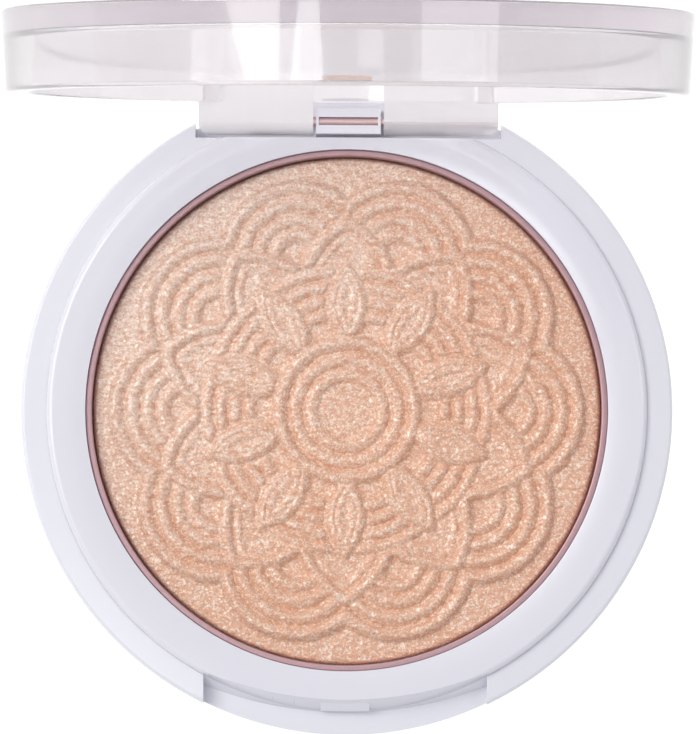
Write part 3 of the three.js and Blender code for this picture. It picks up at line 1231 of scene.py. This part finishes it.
@dataclass
class Lid:
    """The clear lid, drawn shut and then swung open by its rest angle."""

    hinge: Hinge
    open_deg: float
    mouth: float
    height: float = 8.2
    plate: float = 2.2
    mouth_radius: float = 34.1
    face_radius: float = 34.5
    bore_mouth: float = 31.75
    bore_top: float = 31.55
    bore_round: float = 0.7
    mouth_round: float = 0.45
    mouth_inner_round: float = 0.25
    edge: float = 0.3
    corner: float = 1.2
    bump_half_width: float = 2.3

    def _lug_face(self, side: int, low: float, steps: int = 8) -> Profile:
        """A lug seen along Y, square inside and rounded at its outer lower corner.

        Args:
            side: 1 for the right lug or -1 for the left one.
            low: its lowest level.
            steps: chords in the rounded corner.

        Returns:
            The outline in the X-Z plane.
        """
        far, near = side * self.hinge.lug_outer, side * (self.hinge.lug_inner - 1)
        face = [(near, FAR), (near, low)]
        for i in range(steps + 1):
            angle = math.radians(-90 + 90 * i / steps)
            inset, rise = self.corner * (1 - math.cos(angle)), self.corner * (1 + math.sin(angle))
            face.append((far - side * inset, low + rise))
        return face + [(far, FAR)]

    def lug(self, side: int) -> Object:
        """One hinge lug with the full-height block that carries it.

        Args:
            side: 1 for the right lug or -1 for the left one.

        Returns:
            The lug, reaching into the lid's plate and wall.
        """
        hinge = self.hinge
        ceiling = self.mouth + self.height - self.plate / 2
        inner, outer = sorted((side * hinge.lug_inner, side * hinge.lug_outer))
        body = prism("lug", hinge.barrel_outline(ceiling - hinge.z, hinge.barrel), inner, outer, 0)
        face = self._lug_face(side, hinge.z - hinge.barrel - 0.01)
        cut(body, prism("corner", face, 0, FAR, 1), Cut.COMMON)
        fill = block("fill", (inner, hinge.y, self.mouth), (outer, FAR, ceiling))
        wall = (self.bore_top + self.mouth_radius) / 2
        cut(fill, turned("wall", [(0, 0), (wall, 0), (wall, FAR), (0, FAR)]), Cut.COMMON)
        return cut(body, fill, Cut.TOGETHER)

    def shell(self) -> Object:
        """The whole lid, shut.

        Returns:
            The finished mesh's object.
        """
        mouth, top = self.mouth, self.mouth + self.height
        ceiling = top - self.plate
        inner, outer = self.mouth_inner_round, self.mouth_round
        profile = [(0, ceiling)]
        bend = (self.bore_top - self.bore_round, ceiling - self.bore_round)
        profile += arc(bend, self.bore_round, 90, 0, 8)
        profile += arc((self.bore_mouth + inner, mouth + inner), inner, 180, 270, 4)
        profile += arc((self.mouth_radius - outer, mouth + outer), outer, -90, 0, 6)
        profile += arc((self.face_radius - self.edge, top - self.edge), self.edge, 0, 90, 6)
        profile += [(0, top)]
        cup = turned("lid_shell_fine", profile)
        for side in (1, -1):
            cut(cup, self.lug(side), Cut.TOGETHER)
        cut(cup, self.hinge.bore_rod(-15.4, 40))
        wall = -self.bore_mouth
        bump = [
            (wall - 1, mouth + 0.3),
            (wall + 0.05, mouth + 0.3),
            (wall + 0.3, mouth + 0.6),
            (wall + 0.05, mouth + 1.0),
            (wall - 1, mouth + 1.0),
        ]
        cut(cup, prism("bump", bump, -self.bump_half_width, self.bump_half_width, 0), Cut.TOGETHER)
        return ease(cup)

    def mark_thick(self, shell: Object) -> None:
        """Marks the lugs and their blocks, where the moulding is thick, with the attribute "thick".

        Args:
            shell: the shut lid.
        """
        marks = shell.data.attributes.new("thick", "FLOAT", "FACE")
        back = self.hinge.y - self.hinge.barrel - 0.3
        for mark, face in zip(marks.data, shell.data.polygons):
            x, y, z = face.center / MM
            lug = self.hinge.lug_inner - 0.2 < abs(x) < self.hinge.lug_outer + 0.2
            under = z < self.mouth + self.height - self.plate - 0.05
            inside = math.hypot(x, y) < self.mouth_radius - 0.3
            milky = 0.55 if z < self.mouth and x > 0 else 1.0
            mark.value = milky if lug and y > back and under and inside else 0.0

    def build(self, look: Material) -> None:
        """Makes the lid, swings it open and enters it.

        Args:
            look: the clear plastic.
        """
        shell = self.shell()
        self.mark_thick(shell)
        centre = Vector((0, self.hinge.y, self.hinge.z)) * MM
        swing = Matrix.Translation(centre) @ Matrix.Rotation(-math.radians(self.open_deg), 4, "X")
        shell.data.transform(swing @ Matrix.Translation(-centre))
        enter(dress(shell, look), "lid", "clear_plastic", "lid_shell")


# ---- the studio ----


@dataclass
class Studio:
    """Camera, floor and soft lights around the compact, in metres, degrees and watts."""

    distance: float = 0.600
    lens: float = 282.1
    tilt: float = 3.85
    sway: float = -0.15
    roll: float = -0.33
    shift: tuple[float, float] = (-0.00019, -0.00446)
    aim_height: float = 0.007
    tent: float = 0.97
    tent_stops: tuple[tuple[float, Colour], ...] = (
        (0.0, (0.86, 0.86, 0.88)),
        (0.35, (0.52, 0.52, 0.55)),
        (0.9, (0.24, 0.24, 0.27)),
    )

    def camera(self) -> None:
        """Places the camera almost straight above, leaning a little to the front."""
        data = bpy.data.cameras.new("camera")
        data.lens = self.lens
        data.clip_start = 0.01
        eye = bpy.data.objects.new("camera", data)
        turn = (
            Matrix.Rotation(math.radians(self.roll), 4, "Z")
            @ Matrix.Rotation(math.radians(self.sway), 4, "Y")
            @ Matrix.Rotation(math.radians(-self.tilt), 4, "X")
        )
        look = Matrix.Translation((*self.shift, -self.distance)) @ turn
        look = look @ Matrix.Translation((0, 0, -self.aim_height))
        eye.matrix_world = look.inverted()
        bpy.context.scene.collection.objects.link(eye)
        bpy.context.scene.camera = eye

    def lamp(self, name: str, place: tuple, size: tuple, watts: float, colour: Colour = (1, 1, 1)) -> None:
        """Adds a soft box aimed at the compact.

        Args:
            name: the lamp's name.
            place: where it hangs.
            size: its width and depth.
            watts: its power.
            colour: the colour of its light.
        """
        data = bpy.data.lights.new(name, "AREA")
        data.shape = "RECTANGLE"
        data.size, data.size_y = size
        data.energy = watts
        data.color = colour
        made = bpy.data.objects.new(name, data)
        made.location = place
        made.rotation_euler = (-Vector(place)).to_track_quat("-Z", "Y").to_euler()
        bpy.context.scene.collection.objects.link(made)

    def floor(self) -> None:
        """A plain white sweep that the compact stands on."""
        dress_up = Dress("white_sweep")
        dress_up.set(
            Base_Color=(0.1, 0.1, 0.1), Roughness=0.9, Emission_Color=(1.0, 1.0, 1.0), Emission_Strength=1.0
        )
        sweep = block("studio_floor", (-1500, -1500, -2), (1500, 1500, -0.02))
        dress(sweep, dress_up.material)

    def build(self) -> None:
        """Sets up the whole studio."""
        scene = bpy.context.scene
        scene.view_settings.view_transform = "Standard"
        world = bpy.data.worlds.new("studio")
        scene.world = world
        world.use_nodes = True
        back = world.node_tree.nodes["Background"]
        back.inputs["Strength"].default_value = self.tent
        graph = Graph(world.node_tree)
        sky = graph.parts(graph.out(graph.node("ShaderNodeTexCoord"), "Generated"))
        walls = graph.node("ShaderNodeValToRGB", {"stops": self.tent_stops}, {"Fac": sky[2]})
        graph.tree.links.new(walls.outputs[0], back.inputs["Color"])
        self.camera()
        self.floor()
        self.lamp("key", (-0.60, 0.24, 0.90), (0.72, 0.72), 7.7, (1.0, 0.985, 0.965))
        self.lamp("side_box", (-0.10, -0.08, 0.54), (0.12, 0.085), 0.15)
        self.lamp("fill", (0.62, 0.10, 0.90), (0.50, 0.50), 1.6)


def main() -> None:
    """Builds the compact and the studio."""
    logging.basicConfig(level=logging.INFO, format="%(name)s: %(message)s")
    Studio().build()
    joint = frame["joints"][0]
    hinge = Hinge(y=joint["pos_m"][1] / MM, z=joint["pos_m"][2] / MM)
    shell_look = MouldedPlastic("shell_gloss", srgb(233, 234, 240), srgb(230, 231, 238)).make()
    tray_look = MouldedPlastic("tray_gloss", srgb(232, 232, 239), srgb(228, 228, 236), 0.16).make()
    base = Base(
        hinge=hinge,
        notch=ThumbNotch(wall_top=height_of("inner_tray")),
        radius=radius_of("base_shell"),
        height=height_of("base_shell"),
        tray_radius=radius_of("inner_tray"),
        tray_top=height_of("inner_tray"),
    )
    base.build(shell_look, tray_look)
    pan = Pan(radius_of("powder_pan"), height_of("powder_pan", top=False), height_of("powder_pan"))
    # The pan's pink tint is a painted reflection of the powder; bare aluminium is grey.
    pan.build(BareMetal("pan_aluminium_painted_reflection", srgb(198, 165, 169), 0.5).make())
    cake = EmbossedCake(
        pan.radius - pan.wall - 0.01, height_of("pressed_powder", top=False), height_of("pressed_powder")
    )
    cake.build(ShimmerCake().make())
    lid = Lid(hinge=hinge, open_deg=-joint["range_deg"][0], mouth=height_of("base_shell") + 0.2)
    lid.build(ClearPlastic().make())
    pin = hinge.bore_rod(-15.3, 15.3, 0.45)
    pin.name = "hinge_pin_fine"
    # The pin's pale pink is a painted reflection of the powder, lightened as painted light against the shade
    # of its slot; bare steel is grey.
    steel = BareMetal("pin_steel_painted_light", srgb(240, 214, 212), 0.5, (0.05, 1, 1)).make()
    enter(dress(ease(pin), steel), "base", "pin_metal", "hinge_pin")
    glue = PlainMatter("glue_drop", srgb(236, 228, 207), 0.4, 0.8, 0.02).make()
    for i in range(4):
        dress(frame["nodes"][f"glue_dot_{i + 1}"], glue)
    paper = PlainMatter("label_paper", srgb(243, 243, 243), 0.6, 2.0, 0.01).make()
    dress(frame["nodes"]["bottom_label"], paper)


if __name__ == "__main__":
    main()
